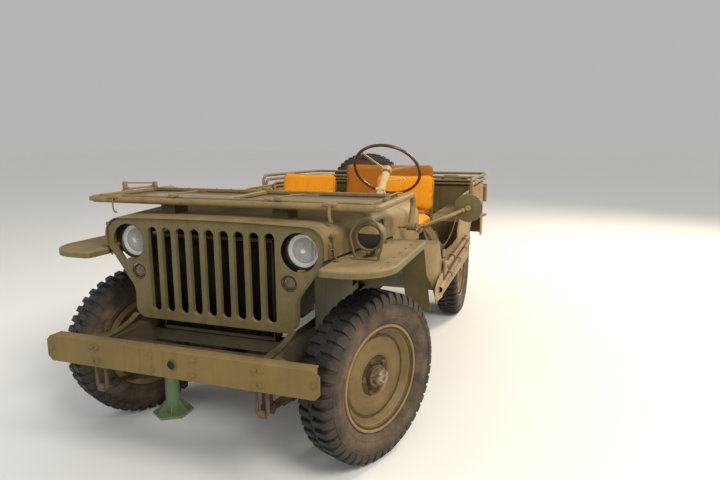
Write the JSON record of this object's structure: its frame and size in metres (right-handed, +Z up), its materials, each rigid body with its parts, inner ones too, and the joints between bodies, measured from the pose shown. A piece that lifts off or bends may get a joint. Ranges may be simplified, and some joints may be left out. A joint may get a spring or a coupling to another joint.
{
  "type": "light 4x4 army car",
  "caption": "Open light 4x4 army car with folded windscreen, slotted grille, flat fenders, steered front wheels, stowed bows, spare wheel and axle stands.",
  "frame": {"origin": "on the ground, under the middle of the outer box", "axes": "+X to the car's left, +Y to its rear, +Z up"},
  "size_m": [1.7686, 3.32, 1.3043],
  "materials": {
    "body_paint": "flat olive drab paint, dusty",
    "chassis_paint": "dark olive drab paint with grime",
    "bumper_paint": "brownish olive paint",
    "tyre_rubber": "matt black rubber with brown dust",
    "wheel_paint": "dusty olive brown paint",
    "hub_metal": "rusty cast metal",
    "seat_canvas": "mustard canvas",
    "lamp_glass": "clear moulded lamp glass",
    "pane_glass": "clear flat glass",
    "stand_paint": "pale green enamel",
    "block_wood": "painted wood",
    "engine_paint": "grey green engine enamel",
    "tool_steel": "olive painted tools",
    "wheel_rim_black": "dark moulded rim"
  },
  "bodies": {
    "root": {"axle_stands": "stand_paint", "blackout_lamp": "body_paint", "body_side_left": "body_paint", "body_side_right": "body_paint", "chassis_frame": "chassis_paint", "cowl": "body_paint", "drive_train": "chassis_paint", "engine_block": "engine_paint", "exhaust": "chassis_paint", "fender_left": "body_paint", "fender_right": "body_paint", "floor_pan": "body_paint", "front_axle": "chassis_paint", "front_bumper": "bumper_paint", "fuel_can": "body_paint", "fuel_tank": "body_paint", "grille": "body_paint", "headlamps": "body_paint", "hood": "body_paint", "hood_blocks": "block_wood", "lamp_lenses": "lamp_glass", "mirror": "body_paint", "pedals_levers": "chassis_paint", "radiator": "chassis_paint", "rear_axle": "chassis_paint", "rear_carriers": "body_paint", "rear_panel": "body_paint", "seat_backs": "seat_canvas", "seat_cushions": "seat_canvas", "seat_frames": "body_paint", "shovel_axe": "tool_steel", "spare_tyre": "tyre_rubber", "spare_wheel": "wheel_paint", "springs": "chassis_paint", "steering_column": "chassis_paint", "top_bows": "body_paint", "tow_fittings": "chassis_paint"},
    "screen": {"windscreen_frame": "body_paint", "windscreen_glass": "pane_glass"},
    "knuckle_left": {"knuckle_left": "chassis_paint"},
    "knuckle_right": {"knuckle_right": "chassis_paint"},
    "road_wheel_front_left": {"tyre_front_left": "tyre_rubber", "wheel_front_left": "wheel_paint", "hub_front_left": "hub_metal"},
    "road_wheel_front_right": {"tyre_front_right": "tyre_rubber", "wheel_front_right": "wheel_paint", "hub_front_right": "hub_metal"},
    "road_wheel_rear_left": {"tyre_rear_left": "tyre_rubber", "wheel_rear_left": "wheel_paint", "hub_rear_left": "hub_metal"},
    "road_wheel_rear_right": {"tyre_rear_right": "tyre_rubber", "wheel_rear_right": "wheel_paint", "hub_rear_right": "hub_metal"},
    "bellcrank": {"bellcrank": "chassis_paint"},
    "tie_rod_left": {"tie_rod_left": "chassis_paint"},
    "tie_rod_right": {"tie_rod_right": "chassis_paint"},
    "pitman_arm": {"pitman_arm": "chassis_paint"},
    "drag_link": {"drag_link": "chassis_paint"},
    "steering_wheel": {"steering_wheel": "wheel_rim_black"}
  },
  "joints": [
    {"name": "windscreen_fold", "type": "hinge", "parent": "root", "child": "screen", "pos_m": [-0.0825, -0.76, 0.922], "axis": [-1, 0, 0], "range_deg": [0, 93]},
    {"name": "kingpin_left", "type": "hinge", "parent": "root", "child": "knuckle_left", "pos_m": [0.4225, -1.126, 0.356], "axis": [0, 0, 1], "range_deg": [-3, 49]},
    {"name": "kingpin_right", "type": "hinge", "parent": "root", "child": "knuckle_right", "pos_m": [-0.5875, -1.126, 0.356], "axis": [0, 0, 1], "range_deg": [-3.05, 49.05]},
    {"name": "front_left_spin", "type": "hinge", "parent": "knuckle_left", "child": "road_wheel_front_left", "pos_m": [0.52192, -1.1682, 0.356], "axis": [0.9205, -0.3907, 0], "continuous": true},
    {"name": "front_right_spin", "type": "hinge", "parent": "knuckle_right", "child": "road_wheel_front_right", "pos_m": [-0.68692, -1.0838, 0.356], "axis": [0.9205, -0.3907, 0], "continuous": true},
    {"name": "rear_left_spin", "type": "hinge", "parent": "root", "child": "road_wheel_rear_left", "pos_m": [0.5305, 0.906, 0.356], "axis": [1, 0, 0], "continuous": true},
    {"name": "rear_right_spin", "type": "hinge", "parent": "root", "child": "road_wheel_rear_right", "pos_m": [-0.6955, 0.906, 0.356], "axis": [1, 0, 0], "continuous": true},
    {"name": "bellcrank_turn", "type": "hinge", "parent": "root", "child": "bellcrank", "pos_m": [-0.0225, -1.126, 0.404], "axis": [0, 0, 1], "range_deg": [-3.05, 49.05]},
    {"name": "tie_rod_left_pin", "type": "hinge", "parent": "bellcrank", "child": "tie_rod_left", "pos_m": [-0.06477, -1.28188, 0.419], "axis": [0, 0, 1], "range_deg": [-49.05, 3.05]},
    {"name": "tie_rod_right_pin", "type": "hinge", "parent": "bellcrank", "child": "tie_rod_right", "pos_m": [-0.10527, -1.26469, 0.419], "axis": [0, 0, 1], "range_deg": [-49.05, 3.05]},
    {"name": "pitman_turn", "type": "hinge", "parent": "root", "child": "pitman_arm", "pos_m": [0.1325, -0.68, 0.564], "axis": [1, 0, 0], "range_deg": [-2.74, 43.98]},
    {"name": "drag_link_pin", "type": "hinge", "parent": "pitman_arm", "child": "drag_link", "pos_m": [0.1085, -0.73107, 0.42829], "axis": [1, 0, 0], "range_deg": [-43.98, 2.74]},
    {"name": "steering_wheel_turn", "type": "hinge", "parent": "root", "child": "steering_wheel", "pos_m": [0.2495, 0.011, 1.142], "axis": [0, 0.7466, 0.6652], "range_deg": [-42.05, 686.05]}
  ],
  "couplings": [
    {"joint": "kingpin_right", "follows": "kingpin_left", "ratio": 1},
    {"joint": "bellcrank_turn", "follows": "kingpin_left", "ratio": 1},
    {"joint": "tie_rod_left_pin", "follows": "kingpin_left", "ratio": -1},
    {"joint": "tie_rod_right_pin", "follows": "kingpin_left", "ratio": -1},
    {"joint": "pitman_turn", "follows": "kingpin_left", "ratio": 0.89655},
    {"joint": "drag_link_pin", "follows": "kingpin_left", "ratio": -0.89655},
    {"joint": "steering_wheel_turn", "follows": "kingpin_left", "ratio": 14}
  ]
}
